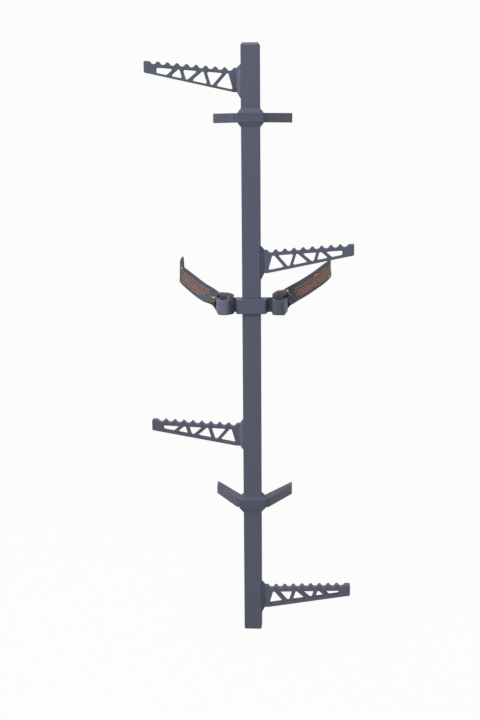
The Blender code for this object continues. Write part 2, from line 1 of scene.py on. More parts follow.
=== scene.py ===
import bpy
import math
import random
from bisect import bisect_right
from mathutils import Matrix, Vector


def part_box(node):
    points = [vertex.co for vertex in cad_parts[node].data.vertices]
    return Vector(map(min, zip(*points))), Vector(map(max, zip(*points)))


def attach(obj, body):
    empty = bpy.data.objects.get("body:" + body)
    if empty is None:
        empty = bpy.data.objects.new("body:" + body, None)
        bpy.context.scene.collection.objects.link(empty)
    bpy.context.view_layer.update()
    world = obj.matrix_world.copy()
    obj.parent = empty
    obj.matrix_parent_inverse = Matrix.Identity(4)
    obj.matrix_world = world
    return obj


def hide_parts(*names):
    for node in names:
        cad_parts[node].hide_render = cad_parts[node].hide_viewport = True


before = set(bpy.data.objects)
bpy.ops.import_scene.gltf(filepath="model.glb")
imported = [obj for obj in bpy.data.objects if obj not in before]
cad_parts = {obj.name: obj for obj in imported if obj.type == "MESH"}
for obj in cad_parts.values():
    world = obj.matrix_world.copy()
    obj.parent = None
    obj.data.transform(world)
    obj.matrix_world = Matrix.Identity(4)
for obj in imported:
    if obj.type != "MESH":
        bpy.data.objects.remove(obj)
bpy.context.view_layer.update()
scene = bpy.context.scene
scene.view_settings.view_transform = "Standard"
print("frame loaded:", len(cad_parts), "nodes")

# camera, turned about the post and then aimed
photoView = {"distance": 1.8866, "height": 0.8758, "azimuth": 2.744, "pitch": 11.673,
             "yaw": -0.623, "roll": -0.45, "lens": 56.5, "sensor": 36}


def placeCamera(view):
    turn = math.radians(view["azimuth"])
    camera = bpy.data.cameras.new("photoCamera")
    camera.lens = view["lens"]
    camera.sensor_width = view["sensor"]
    holder = bpy.data.objects.new("photoCamera", camera)
    scene.collection.objects.link(holder)
    spot = (view["distance"] * math.sin(turn), -view["distance"] * math.cos(turn), view["height"])
    heading = Matrix.Rotation(math.radians(view["azimuth"] - view["yaw"]), 4, "Z")
    tilt = Matrix.Rotation(math.radians(90 - view["pitch"]), 4, "X")
    roll = Matrix.Rotation(math.radians(view["roll"]), 4, "Z")
    holder.matrix_world = Matrix.Translation(spot) @ heading @ tilt @ roll
    scene.camera = holder


placeCamera(photoView)


# shader sockets that can be added, multiplied and so on in Python
class Wire:
    def __init__(self, tree, socket=None):
        self.tree = tree
        self.socket = socket

    def node(self, kind, settings={}, sockets={}, out=0):
        made = self.tree.nodes.new("ShaderNode" + kind)
        for key, value in settings.items():
            if key == "stops":
                while len(made.color_ramp.elements) < len(value):
                    made.color_ramp.elements.new(0.5)
                for stop, (place, colour) in zip(made.color_ramp.elements, value):
                    stop.position = place
                    stop.color = (*colour, 1)
            else:
                setattr(made, key, value)
        for key, value in sockets.items():
            self.feed(made.inputs[key], value)
        return Wire(self.tree, made.outputs[out])

    def feed(self, socket, value):
        if isinstance(value, Wire):
            self.tree.links.new(value.socket, socket)
        else:
            socket.default_value = value

    def maths(self, operation, first, second=0.0):
        return self.node("Math", {"operation": operation}, {0: first, 1: second})

    def __add__(self, other):
        return self.maths("ADD", self, other)

    def __radd__(self, other):
        return self.maths("ADD", other, self)

    def __sub__(self, other):
        return self.maths("SUBTRACT", self, other)

    def __rsub__(self, other):
        return self.maths("SUBTRACT", other, self)

    def __mul__(self, other):
        return self.maths("MULTIPLY", self, other)

    def __rmul__(self, other):
        return self.maths("MULTIPLY", other, self)

    def __truediv__(self, other):
        return self.maths("DIVIDE", self, other)

    def noise(self, place, scale, detail=2.0):
        return self.node("TexNoise", {}, {"Vector": place, "Scale": scale, "Detail": detail})

    def blend(self, share, first, second):
        return self.node("Mix", {"data_type": "RGBA"}, {0: share, 6: first, 7: second}, 2)

    def scaled(self, colour, scale):
        return self.node("VectorMath", {"operation": "SCALE"}, {0: colour, "Scale": scale})

    def bump(self, height, strength, distance):
        return self.node("Bump", {}, {"Height": height, "Strength": strength, "Distance": distance})


def newFinish(name):
    material = bpy.data.materials.new(name)
    material.use_nodes = True
    return material, Wire(material.node_tree), material.node_tree.nodes["Principled BSDF"].inputs


def rgb(red, green, blue):      # screen colour, 0 to 255, as linear light
    values = [part / 255 for part in (red, green, blue)]
    return (*[v / 12.92 if v < 0.04045 else ((v + 0.055) / 1.055) ** 2.4 for v in values], 1)


# slate powder coat on the welded frame
coat = {"pale": rgb(91, 96, 116), "deep": rgb(84, 88, 107), "drift": 7.0,
        "speck": rgb(66, 70, 83), "speckSpan": (0.34, 0.42), "speckShare": 0.35, "grain": 1500.0, "grainRise": 0.35,
        "roughness": 0.54, "peel": 620, "peelSmooth": 0.06, "peelRough": 0.16, "peelBump": (0.22, 0.00035),
        "pits": 260.0, "pitRise": 1.4, "specular": 0.2,
        # painted light and shade on the hooks by x: from, to and how much; the left hook is painted lighter, its
        # outermost edge and the right hook painted darker
        "hookPaintedLight": ((-0.036, -0.042, 1.42), (-0.0554, -0.0568, 0.72), (0.036, 0.042, 0.86))}


def powderCoat(name, shade=1.0, roughness=coat["roughness"], beads=False, paintedTones=()):
    material, wire, shader = newFinish(name)
    place = wire.node("TexCoord", out=3)
    drift = wire.noise(place, coat["drift"], 3.0)
    grain = wire.noise(place, coat["grain"], 1.0)
    peel = wire.noise(place, coat["peel"])
    deep, pale = [(*[part * shade for part in coat[key][:3]], 1) for key in ("deep", "pale")]
    black, white = (0, 0, 0), (1, 1, 1)
    specks = wire.node("ValToRGB", {"stops": tuple(zip(coat["speckSpan"], (white, black)))}, {0: grain})
    colour = wire.blend(coat["speckShare"] * specks, wire.blend(drift, deep, pale), coat["speck"])
    # painted light and shade: the colour is scaled by x over each given span
    for near, far, scale in paintedTones:
        spread = wire.node("MapRange", {"interpolation_type": "SMOOTHSTEP"},
                           {0: wire.node("SeparateXYZ", {}, {0: place}), 1: near, 2: far})
        colour = wire.blend(spread, colour, wire.scaled(colour, scale))
    wire.feed(shader["Base Color"], colour)
    wire.feed(shader["Roughness"], roughness - coat["peelSmooth"] + coat["peelRough"] * peel)
    height = peel + coat["grainRise"] * grain
    if beads:       # gas pits and wash in the cast surface of a weld
        height = height + coat["pitRise"] * wire.noise(place, coat["pits"])
    wire.feed(shader["Normal"], wire.bump(height, *coat["peelBump"]))
    shader["Specular IOR Level"].default_value = coat["specular"]
    return material


# satin moulded plastic of the post's end plugs
plug = {"body": rgb(82, 86, 101), "worn": rgb(92, 96, 112), "clouds": 45.0, "grain": 900.0,
        "roughness": 0.42, "cloudRough": 0.2, "grainBump": (0.15, 0.0003)}


def plugPlastic():
    material, wire, shader = newFinish("plugPlastic")
    place = wire.node("TexCoord", out=3)
    clouds = wire.noise(place, plug["clouds"], 3.0)
    grain = wire.node("TexVoronoi", {"feature": "F1"}, {"Vector": place, "Scale": plug["grain"]})
    wire.feed(shader["Base Color"], wire.blend(clouds, plug["body"], plug["worn"]))
    wire.feed(shader["Roughness"], plug["roughness"] + plug["cloudRough"] * clouds)
    wire.feed(shader["Normal"], wire.bump(grain, *plug["grainBump"]))
    return material


# woven webbing, drawn on the strip's own map: across in u and along in v, both in metres
weave = {"warp": 0.0011, "pick": 0.0022, "chevron": 4.0, "low": 0.45, "lift": 0.55,
         "fuzz": 2600.0, "fuzzRise": 0.25, "mottle": 160.0, "mottleShare": 0.9, "reliefShare": 0.62,
         "dark": rgb(44, 48, 63), "light": rgb(80, 85, 104), "sealed": rgb(34, 36, 44), "sealedEnd": 0.0016,
         "roughness": 0.86, "pickGloss": 0.12, "sealedGloss": 0.3, "bump": (0.7, 0.0006), "sheen": (0.1, 0.5),
         # painted light and shade by share of a span either way from the bend: painted lighter on the bend over the
         # hook, painted shade in the neck behind it
         "paintedSpan": 0.1, "palest": 2, "paintedLightAndShade": ((0, 1.56), (0.18, 1.56), (0.36, 0.76), (0.7, 0.76), (0.95, 1.0))}


def webbingCloth(name, length, bend):
    material, wire, shader = newFinish(name)
    flat = wire.node("UVMap", {"uv_map": "weave"})
    across, along = [wire.node("SeparateXYZ", {}, {0: flat}, k) for k in (0, 1)]
    end = across / weave["warp"]
    cord = wire.maths("FLOOR", end)
    ridge = wire.maths("SINE", (end - cord) * math.pi)                                  # one warp end
    slant = wire.maths("PINGPONG", cord, weave["chevron"]) / weave["chevron"]           # chevron over eight ends
    pick = wire.maths("SINE", (along / weave["pick"] + slant) * (2 * math.pi)) * 0.5 + 0.5
    place = wire.node("TexCoord", out=3)
    fuzz = wire.noise(place, weave["fuzz"])
    mottle = wire.noise(place, weave["mottle"], 3.0)
    height = ridge * (weave["low"] + weave["lift"] * pick) + weave["fuzzRise"] * fuzz
    light = height * weave["reliefShare"] + (mottle - 0.5) * weave["mottleShare"]
    cloth = wire.blend(light, weave["dark"], weave["light"])
    # painted light on the bend and painted shade in the neck, as a scale on the cloth's colour
    stops = [(share, [tone / weave["palest"]] * 3) for share, tone in weave["paintedLightAndShade"]]
    paintedLightAndShade = wire.node("ValToRGB", {"stops": stops}, {0: wire.maths("ABSOLUTE", along - bend) / weave["paintedSpan"]})
    cloth = wire.scaled(cloth, paintedLightAndShade * weave["palest"])
    sealed = wire.maths("GREATER_THAN", along, length - weave["sealedEnd"])             # melted edge at the cut end
    wire.feed(shader["Base Color"], wire.blend(sealed, cloth, weave["sealed"]))
    wire.feed(shader["Roughness"], weave["roughness"] - weave["pickGloss"] * pick - weave["sealedGloss"] * sealed)
    wire.feed(shader["Normal"], wire.bump(height, *weave["bump"]))
    shader["Sheen Weight"].default_value, shader["Sheen Roughness"].default_value = weave["sheen"]
    return material


# two-ply sewing thread
thread = {"ply": 700.0, "wander": 1.5, "patch": 300.0,
          "roughness": 0.55, "patchRough": 0.15, "plyBump": (0.4, 0.0003)}


def threadCloth(name, pale, deep):
    material, wire, shader = newFinish(name)
    place = wire.node("TexCoord", out=3)
    ply = wire.node("TexWave", {"wave_type": "BANDS", "bands_direction": "DIAGONAL"},
                    {"Vector": place, "Scale": thread["ply"], "Distortion": thread["wander"]})
    patch = wire.noise(place, thread["patch"])
    wire.feed(shader["Base Color"], wire.blend(ply * 0.5 + patch * 0.5, deep, pale))
    wire.feed(shader["Roughness"], thread["roughness"] + thread["patchRough"] * patch)
    wire.feed(shader["Normal"], wire.bump(ply, *thread["plyBump"]))
    return material


frameCoat = powderCoat("frameCoat")
stepCoat = powderCoat("stepCoat", shade=1.02)
bracketCoat = powderCoat("bracketCoat", shade=0.9, roughness=0.52)
hookCoatPaintedLight = powderCoat("hookCoatPaintedLight", shade=1.02, roughness=0.5, paintedTones=coat["hookPaintedLight"])
weldCoat = powderCoat("weldCoat", shade=1.06, roughness=0.48, beads=True)
# lit and shaded copies of the weld coat: painted light for the welds of the left steps, painted shade for those of
# the right
weldPaintedLit = powderCoat("weldPaintedLit", shade=1.4, roughness=0.46, beads=True)
weldPaintedShade = powderCoat("weldPaintedShade", shade=0.8, roughness=0.52, beads=True)
plugFinish = plugPlastic()
seamThread = threadCloth("seamThread", rgb(255, 176, 92), rgb(240, 142, 64))
tackThread = threadCloth("tackThread", rgb(255, 222, 150), rgb(240, 186, 106))
print("finishes ready")


# strap leads: the middle line of each from the hook's heel bar, as outboard, back, up and turn
strap = {"width": 0.0296, "thickness": 0.0024, "layerGap": 0.0006, "bar": (0.008, 0.5802), "barWall": 0.0046,
         "barDepth": 0.0242, "clearance": 0.0036, "tight": 0.0009, "flare": (0.0138, 0.005),
         "pinch": (0.009, 0.02), "drawnBy": 3, "pinchBy": 1.5, "step": 0.003, "routeStep": 0.006,
         "start": (-2, -1, 0, 0.5),     # straight start of the middle line, in times the bar's wall and clearance
         # the eye's upper and lower leg and its front bend, as shares of its length or depth and of its height
         "over": ((0.75, 0.17), (0.5, 0.5), (0.25, 0.89)), "under": ((0.75, 0.14), (0.5, 0.42), (0.25, 0.84)),
         "bend": ((0, 1), (0.8, 0.94), (1, 0.6)), "selvedge": (0.1, 14),
         "columns": (-0.5, -0.485, -0.45, -0.36, -0.24, -0.12, 0, 0.12, 0.24, 0.36, 0.45, 0.485, 0.5)}
leads = {
    "left": {
        "side": -1, "bar": 0.0419, "eyeWidth": 0.0222, "rise": 0.0062, "eye": 0.05, "fold": 0.238,
        "pinch": 0.5, "spreadBy": 0.013, "dash": (0.0056, 0.0013), "seed": 11,
        "route": (
            (0.005, 0.012, -0.0006, 5), (0.0133, 0.030, -0.0002, 9), (0.0275, 0.060, 0.002, 20),
            (0.0411, 0.088, 0.0046, 43), (0.0539, 0.114, 0.0074, 58), (0.0755, 0.160, 0.0145, 63),
            (0.0916, 0.194, 0.0204, 72), (0.1012, 0.215, 0.0246, 82), (0.1074, 0.243, 0.0296, 88),
            (0.108, 0.268, 0.0329, 91), (0.1062, 0.291, 0.0348, 93),
        ),
        # sewn rows, as distance and share of the width at each end
        "rows": (((0.008, 0.25), (0.143, 0.25)), ((0.006, 0.1), (0.144, 0.11)), ((0.008, -0.03), (0.142, -0.02)),
                 ((0.006, -0.16), (0.136, -0.13)), ((0.012, -0.31), (0.124, -0.25))),
        "crossRows": (((0.234, -0.3), (0.256, 0.16)), ((0.158, -0.05), (0.173, -0.04))),
        # tacks, as distance, share of the width, face, slant and number of threads
        "tacks": ((0.003, 0.42, 1, 40, 4), (0.175, -0.03, 1, 60, 5), (0.329, -0.35, -1, 45, 6)),
    },
    "right": {
        "side": 1, "bar": 0.044, "eyeWidth": 0.018, "rise": 0.0108, "eye": 0.038, "fold": 0.238,
        "pinch": 0.75, "spreadBy": 0.018, "dash": (0.0068, 0.0012), "seed": 12,
        "route": (
            (0.0024, 0.012, 0.0009, 5), (0.0095, 0.025, 0.0044, 18), (0.0214, 0.042, 0.010, 43),
            (0.0338, 0.064, 0.014, 65), (0.0463, 0.092, 0.0174, 69), (0.0553, 0.114, 0.0203, 70),
            (0.0723, 0.155, 0.0265, 68), (0.0843, 0.190, 0.0315, 70), (0.0913, 0.215, 0.0344, 82),
            (0.0942, 0.235, 0.0374, 90), (0.0938, 0.252, 0.0392, 92),
        ),
        "rows": (((0.004, 0.23), (0.176, 0.21)), ((0.007, 0.08), (0.176, 0.06)), ((0.004, -0.05), (0.172, -0.06)),
                 ((0.007, -0.17), (0.177, -0.15)), ((0.012, -0.3), (0.168, -0.25))),
        "crossRows": (((0.248, 0.46), (0.245, -0.46)), ((0.194, 0.22), (0.19, -0.08)), ((0.072, 0.26), (0.092, 0.25)),
                      ((0.075, 0.3), (0.088, 0.29))),
        "tacks": ((0.024, -0.37, 1, 30, 5), (0.193, 0.31, 1, 8, 5, 0.0095)),       # the last one is longer
    },
}


def clamped(value):     # between 0 and 1
    return min(max(value, 0), 1)


def smoothLine(stations, step):
    gaps = [(b[0] - a[0]).length for a, b in zip(stations, stations[1:])]
    rates = [[(b[k] - a[k]) / gap for k in (0, 1)] for a, b, gap in zip(stations, stations[1:], gaps)]
    slopes = [rates[0]]
    for i in range(1, len(gaps)):
        share = gaps[i] / (gaps[i] + gaps[i - 1])
        slopes.append([rates[i - 1][k] * share + rates[i][k] * (1 - share) for k in (0, 1)])
    slopes.append(rates[-1])
    line = []
    for i, gap in enumerate(gaps):
        count = max(2, round(gap / step))
        for n in range(count):
            t = n / count
            ease = t * t * (3 - 2 * t)
            leave, arrive = t * (1 - t) ** 2 * gap, t * t * (t - 1) * gap
            line.append([stations[i][k] * (1 - ease) + stations[i + 1][k] * ease
                         + slopes[i][k] * leave + slopes[i + 1][k] * arrive for k in (0, 1)])
    line.append(list(stations[-1]))
    return line


def leadLine(lead):
    ahead = strap["clearance"] + strap["barWall"]
    stations = [(Vector((0, back * ahead, 0)), Vector((-1, 0, 0))) for back in strap["start"]]
    for *point, turn in lead["route"]:
        turn = math.radians(turn)
        stations.append((Vector(point), Vector((-math.cos(turn), 0, math.sin(turn)))))
    line = smoothLine(stations, strap["routeStep"])
    distances = [strap["start"][0] * ahead]
    for near, far in zip(line, line[1:]):
        distances.append(distances[-1] + (far[0] - near[0]).length)
    return line, distances


def lineFrame(line, distances, distance):       # place, width and outward directions behind the bar
    last = len(line) - 1
    i = min(max(bisect_right(distances, distance) - 1, 0), last - 1)
    t = (distance - distances[i]) / (distances[i + 1] - distances[i])

    def heading(k):
        return (line[min(k + 1, last)][0] - line[max(k - 1, 0)][0]).normalized()
    place = line[i][0].lerp(line[i + 1][0], t)
    across = line[i][1].lerp(line[i + 1][1], t)
    ahead = heading(i).lerp(heading(i + 1), t).normalized()
    width = (across - ahead * across.dot(ahead)).normalized()
    return place, width, ahead.cross(width)


def eyeProfile(length, rise):
    layer = (strap["thickness"] + strap["layerGap"]) / 2
    front = -(strap["barWall"] / 2 + strap["clearance"] + strap["thickness"] / 2)
    points = [Vector((length, layer))]
    for way, room, shape in ((1, rise, "over"), (-1, strap["clearance"], "under")):
        reach = way * (strap["barDepth"] / 2 + room + strap["thickness"] / 2)
        leg = [Vector((length * back, reach * up)) for back, up in strap[shape]]
        leg += [Vector((front * ahead, reach * up)) for ahead, up in strap["bend"]]
        points += leg if way > 0 else leg[::-1]
    points.append(Vector((length, -layer)))
    return [value[0] for value in smoothLine([(point, point) for point in points], strap["step"])]


def evenSteps(start, end):
    count = math.ceil((end - start) / strap["step"])
    return [start + (end - start) * (i + 1) / count for i in range(count)]


def layStrip(lead):     # rows of the strip's middle surface, from the fold's end round the eye to the lead's end
    line, distances = leadLine(lead)
    layer = (strap["thickness"] + strap["layerGap"]) / 2
    route = [(back, layer) for back in reversed(evenSteps(lead["eye"], lead["fold"]))]
    route += eyeProfile(lead["eye"], lead["rise"])
    route += [(back, -layer) for back in evenSteps(lead["eye"], distances[-1])]
    side = Matrix.Diagonal((lead["side"], 1, 1))
    bar = Vector((lead["side"] * lead["bar"], *strap["bar"]))
    half = (strap["barDepth"] + strap["thickness"]) / 2
    rows = []
    for back, up in route:
        place, width, outward = lineFrame(line, distances, back)
        widened = clamped(back / lead["spreadBy"])
        spread = lead["eyeWidth"] + (strap["width"] - lead["eyeWidth"]) * widened * widened * (3 - 2 * widened)
        lifted = clamped((abs(up) - strap["flare"][0]) / strap["flare"][1])        # clear of the hook
        outboard = spread + (strap["width"] - spread) * lifted
        # the inboard edge is pulled in by the lead, and the outboard one is drawn flat behind the bar
        room = lead["rise"] if up > 0 else strap["clearance"]
        drawn = (1 - (half + strap["tight"]) / (half + room)) * (1 - clamped(back / lead["eye"]))
        near, far = strap["pinch"]
        pinch = lead["pinch"] * clamped((back - near) / (far - near)) * (up > 0)
        row = []
        for s in strap["columns"]:
            rise = up * (1 - drawn * (s + 0.5) ** strap["drawnBy"]) * (1 - pinch * (0.5 - s) ** strap["pinchBy"])
            row.append(side @ (place + outward * rise + width * s * (spread if s > 0 else outboard)) + bar)
        rows.append(row)
    return rows


def stripNormals(rows, side):
    normals = []
    for i, row in enumerate(rows):
        before, after = rows[max(i - 1, 0)], rows[min(i + 1, len(rows) - 1)]
        line = []
        for j in range(len(row)):
            along = after[j] - before[j]
            across = row[min(j + 1, len(row) - 1)] - row[max(j - 1, 0)]
            line.append((across.cross(along) * side).normalized())
        normals.append(line)
    return normals


def stripMesh(name, rows, normals, side):     # closed strip with soft selvedges, mapped in metres
    columns = strap["columns"]
    wide = len(columns)
    lengths = [0.0]
    for near, far in zip(rows, rows[1:]):
        lengths.append(lengths[-1] + (far[wide // 2] - near[wide // 2]).length)
    thinnest, squareness = strap["selvedge"]
    points, faces = [], []
    for way in (1, -1):
        for row, line in zip(rows, normals):
            for s, point, normal in zip(columns, row, line):
                half = strap["thickness"] / 2 * math.sqrt(max(thinnest, 1 - (2 * abs(s)) ** squareness))
                points.append(point + normal * half * way)
    tall = len(rows)

    def at(layer, i, j):
        return (layer * tall + i) * wide + j
    for i in range(tall - 1):
        for j in range(wide - 1):
            faces.append((at(0, i, j), at(0, i + 1, j), at(0, i + 1, j + 1), at(0, i, j + 1)))
            faces.append((at(1, i, j), at(1, i, j + 1), at(1, i + 1, j + 1), at(1, i + 1, j)))
        for j, (a, b) in ((0, (1, 0)), (wide - 1, (0, 1))):
            faces.append((at(a, i, j), at(a, i + 1, j), at(b, i + 1, j), at(b, i, j)))
    for i, (a, b) in ((0, (0, 1)), (tall - 1, (1, 0))):
        for j in range(wide - 1):
            faces.append((at(a, i, j), at(a, i, j + 1), at(b, i, j + 1), at(b, i, j)))
    if side > 0:        # the two leads are laid in mirrored directions
        faces = [face[::-1] for face in faces]
    mesh = bpy.data.meshes.new(name)
    mesh.from_pydata(points, [], faces)
    layerMap = mesh.uv_layers.new(name="weave")
    for loop in mesh.loops:
        cell = loop.vertex_index % (tall * wide)
        layerMap.data[loop.index].uv = ((columns[cell % wide] + 0.5) * strap["width"], lengths[cell // wide])
    mesh.validate()
    return mesh, lengths


def addPiece(name, mesh, material, body, slot):
    piece = bpy.data.objects.new(name, mesh)
    scene.collection.objects.link(piece)
    mesh.materials.clear()
    mesh.materials.append(material)
    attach(piece, body)
    return piece


def onlySelect(piece):
    bpy.ops.object.select_all(action="DESELECT")
    piece.select_set(True)
    bpy.context.view_layer.objects.active = piece


# stitching: rows along the sewn fold, short rows across the eye and tacks where a row ends
stitch = {"pitch": 0.0085, "wander": 0.06, "stretch": (0.9, 1.08), "sink": 0.18,
          "phase": (0.25, 0.75), "crossPhase": 0.5, "beadSides": 8, "beadRings": 6,
          "tackThread": 0.0008, "tackPitch": 0.0007, "tackLength": 0.0056, "tackWander": 0.0003, "tackLift": 0.0001}


def threadBead():       # one stitch, lying along X, a unit long and a unit thick
    bpy.ops.object.select_all(action="DESELECT")
    bpy.ops.mesh.primitive_uv_sphere_add(segments=stitch["beadSides"], ring_count=stitch["beadRings"], radius=0.5)
    bead = bpy.context.object
    shape = [vertex.co.zxy for vertex in bead.data.vertices]
    faces = [tuple(face.vertices) for face in bead.data.polygons]
    bpy.data.objects.remove(bead)
    return shape, faces


beadShape, beadFaces = threadBead()


class Strip:        # a laid strip, and the places on its two faces
    def __init__(self, rows, normals, lengths):
        self.rows, self.normals, self.lengths = rows, normals, lengths

    def spot(self, distance, share, face):
        i = min(max(bisect_right(self.lengths, distance) - 1, 0), len(self.rows) - 2)
        t = (distance - self.lengths[i]) / (self.lengths[i + 1] - self.lengths[i])
        columns = strap["columns"]
        j = min(max(bisect_right(columns, share) - 1, 0), len(columns) - 2)
        s = (share - columns[j]) / (columns[j + 1] - columns[j])

        def between(grid):
            near = grid[i][j].lerp(grid[i][j + 1], s)
            return near.lerp(grid[i + 1][j].lerp(grid[i + 1][j + 1], s), t)
        normal = between(self.normals).normalized() * face
        along = (self.rows[i + 1][j] - self.rows[i][j]).normalized()
        return between(self.rows) + normal * strap["thickness"] / 2, normal, along


def threadMesh(name, beads):        # beads: place, direction, normal, length and thickness
    points, faces = [], []
    for place, direction, normal, length, thick in beads:
        direction = (direction - normal * direction.dot(normal)).normalized()
        across = normal.cross(direction)
        start = len(points)
        for point in beadShape:
            points.append(place + direction * point.x * length + across * point.y * thick + normal * point.z * thick)
        faces += [tuple(start + k for k in face) for face in beadFaces]
    mesh = bpy.data.meshes.new(name)
    mesh.from_pydata(points, [], faces)
    mesh.shade_smooth()
    return mesh


def sewLine(strip, start, end, dash, phase, dice):      # stitches from one place on the strip to another
    length, thick = dash
    run = abs(end[0] - start[0]) + abs(end[1] - start[1]) * strap["width"]
    count = max(2, round(run / stitch["pitch"]))
    beads = []
    for n in range(count):
        middle = (n + phase + dice.uniform(-stitch["wander"], stitch["wander"])) / count
        reach = 0.5 * length / run
        ends = [strip.spot(*[a + (b - a) * (middle + way * reach) for a, b in zip(start, end)], 1)
                for way in (-1, 1)]
        place = (ends[0][0] + ends[1][0]) / 2
        normal = (ends[0][1] + ends[1][1]).normalized()
        beads.append((place - normal * thick * stitch["sink"], ends[1][0] - ends[0][0], normal,
                      length * dice.uniform(*stitch["stretch"]), thick))
    return beads


# a tack, as threads side by side
def tackBeads(strip, dice, distance, share, face, slant, count, length=stitch["tackLength"]):
    middle, normal, along = strip.spot(distance, share, face)
    turn = Matrix.Rotation(math.radians(slant), 3, normal)
    direction = turn @ along
    across = normal.cross(direction).normalized()
    beads = []
    for n in range(count):
        offset = (n - (count - 1) / 2) * stitch["tackPitch"]
        wander = dice.uniform(-stitch["tackWander"], stitch["tackWander"])
        place = middle + across * offset + direction * wander + normal * stitch["tackLift"]
        beads.append((place, direction, normal, length, stitch["tackThread"]))
    return beads


def makeStrap(name, lead):
    body = "strap_%s_lead" % name
    dice = random.Random(lead["seed"])
    rows = layStrip(lead)
    normals = stripNormals(rows, lead["side"])
    mesh, lengths = stripMesh("webbing_" + name, rows, normals, lead["side"])
    mesh.shade_smooth()
    folded, looped = len(evenSteps(lead["eye"], lead["fold"])), len(eyeProfile(lead["eye"], lead["rise"]))
    cloth = webbingCloth("webbing_" + name, lengths[-1], lengths[folded + looped // 2])
    webbing = addPiece("webbing_" + name, mesh, cloth, body, "webbing")
    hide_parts("strap_" + name)
    strip = Strip(rows, normals, lengths)
    # the lead's place that lies behind the fold's end
    behind = lengths[folded + looped - 1] + lead["fold"] - lead["eye"]
    beads = []
    for n, (start, end) in enumerate(lead["rows"]):
        sewing = lead["dash"], stitch["phase"][n % 2], dice       # rows half a stitch apart
        beads += sewLine(strip, start, end, *sewing)
        beads += sewLine(strip, (behind - start[0], start[1]), (behind - end[0], end[1]), *sewing)
    for start, end in lead["crossRows"]:
        beads += sewLine(strip, start, end, lead["dash"], stitch["crossPhase"], dice)
    seams = addPiece("stitching_" + name, threadMesh("stitching_" + name, beads), seamThread, body, "webbing")
    tacks = []
    for spot in lead["tacks"]:
        tacks += tackBeads(strip, dice, *spot)
    ends = addPiece("tacks_" + name, threadMesh("tacks_" + name, tacks), tackThread, body, "webbing")
    print("strap", name, "laid, %.3f m of webbing, %d stitches" % (lengths[-1], len(beads)))


for name, lead in leads.items():
    makeStrap(name, lead)


# coated copies of the frame's pieces, as finish, slot and eased edge, then how much fuller and how high a crown
eased = {
    "post_tube": (frameCoat, "post", 0.0005, 0.00028),
    "top_cap": (plugFinish, "cap", 0.0004, 0.0002, 0.001), "bottom_cap": (plugFinish, "cap", 0.0006),
    "step_top_left": (stepCoat, "step", 0.0006), "step_upper_right": (stepCoat, "step", 0.0006, 0.0001),
    "step_lower_left": (stepCoat, "step", 0.0006), "step_bottom_right": (stepCoat, "step", 0.0006, 0.0003),
    "tree_bracket_upper": (bracketCoat, "bracket", 0.0007, 0.0004),
    "tree_bracket_lower": (bracketCoat, "bracket", 0.0007, 0.0008),
    "strap_bracket": (hookCoatPaintedLight, "bracket", 0.0013, 0.0003),
}
easing = {"join": 0.00001, "flat": math.radians(0.5), "segments": 3, "sharp": math.radians(40), "sliver": 0.00002,
          "weight": 75}


def easeEdges(node, material, slot, width, fuller=0, crown=0):
    piece = addPiece("coated_" + node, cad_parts[node].data.copy(), material, "frame", slot)
    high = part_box(node)[1][2] + fuller
    onlySelect(piece)
    bpy.ops.object.mode_set(mode="EDIT")
    bpy.ops.mesh.select_all(action="SELECT")
    bpy.ops.mesh.remove_doubles(threshold=easing["join"])
    bpy.ops.mesh.dissolve_limited(angle_limit=easing["flat"])
    bpy.ops.mesh.select_all(action="SELECT")
    bpy.ops.transform.shrink_fatten(value=fuller, use_even_offset=True)
    if crown:       # the plug's raised middle
        bpy.ops.mesh.select_all(action="DESELECT")
        bpy.ops.object.mode_set(mode="OBJECT")
        for face in piece.data.polygons:
            face.select = face.center.z > high - easing["join"]
        bpy.ops.object.mode_set(mode="EDIT")
        bpy.ops.mesh.extrude_region_move(TRANSFORM_OT_translate={"value": (0, 0, crown)})
    bpy.ops.object.mode_set(mode="OBJECT")
    bevel = piece.modifiers.new("easedEdge", "BEVEL")
    bevel.width = width
    bevel.segments = easing["segments"]
    bevel.limit_method = "ANGLE"
    bevel.angle_limit = easing["sharp"]
    bpy.ops.object.modifier_apply(modifier="easedEdge")
    bpy.ops.object.mode_set(mode="EDIT")        # slivers where two eased edges meet
    bpy.ops.mesh.select_all(action="SELECT")
    bpy.ops.mesh.remove_doubles(threshold=easing["sliver"])
    bpy.ops.object.mode_set(mode="OBJECT")
    bpy.ops.object.shade_smooth()
    flat = piece.modifiers.new("flatFaces", "WEIGHTED_NORMAL")
    flat.weight = easing["weight"]
    bpy.ops.object.modifier_apply(modifier="flatFaces")
    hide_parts(node)


for node, settings in eased.items():
    easeEdges(node, *settings)
print("frame coated")


# weld beads: a rippled fillet drawn round each joint, corner at the path and toes on both plates
weld = {"pitch": 0.0024, "ripple": 0.2, "rippleEdge": 1.6, "crown": 0.08, "grain": 0.0006, "facePoints": 7,
        "swing": 0.05, "swingRate": 0.071, "swingStart": 5, "jitter": 0.012, "endSize": 0.45, "endGrowth": 0.14,
        "join": 0.00001, "smooth": math.radians(55), "seed": 7, "postHalf": 0.0153,
        # side of the post, and the bead's legs above and below the step's root
        "steps": {"top_left": (-1, 0.0056, 0.0102), "upper_right": (1, 0.0062, 0.0122),
                  "lower_left": (-1, 0.0072, 0.0074), "bottom_right": (1, 0.0054, 0.0092)},
        "stepRoot": 0.0376, "stepHalf": 0.0063, "stepForward": 0.0044, "stepReach": 0.0062, "stepSide": 0.0034,
        "stepTop": 0.0068, "stepStart": 0.0003, "stepSwell": 0.25, "stepLean": math.tan(math.radians(7)),
        # legs on the post above and below each V bracket
        "bracketRise": {"upper": (0.0072, 0.0072), "lower": (0.0056, 0.0076)},
        "bracketSide": 0.0058, "bracketFront": 0.0029, "bracketBack": 0.0135, "bracketCorner": 0.0012,
        "collar": (0.0153, 0.0106, 0.5802), "collarHalf": 0.0112, "collarLeg": 0.0043}


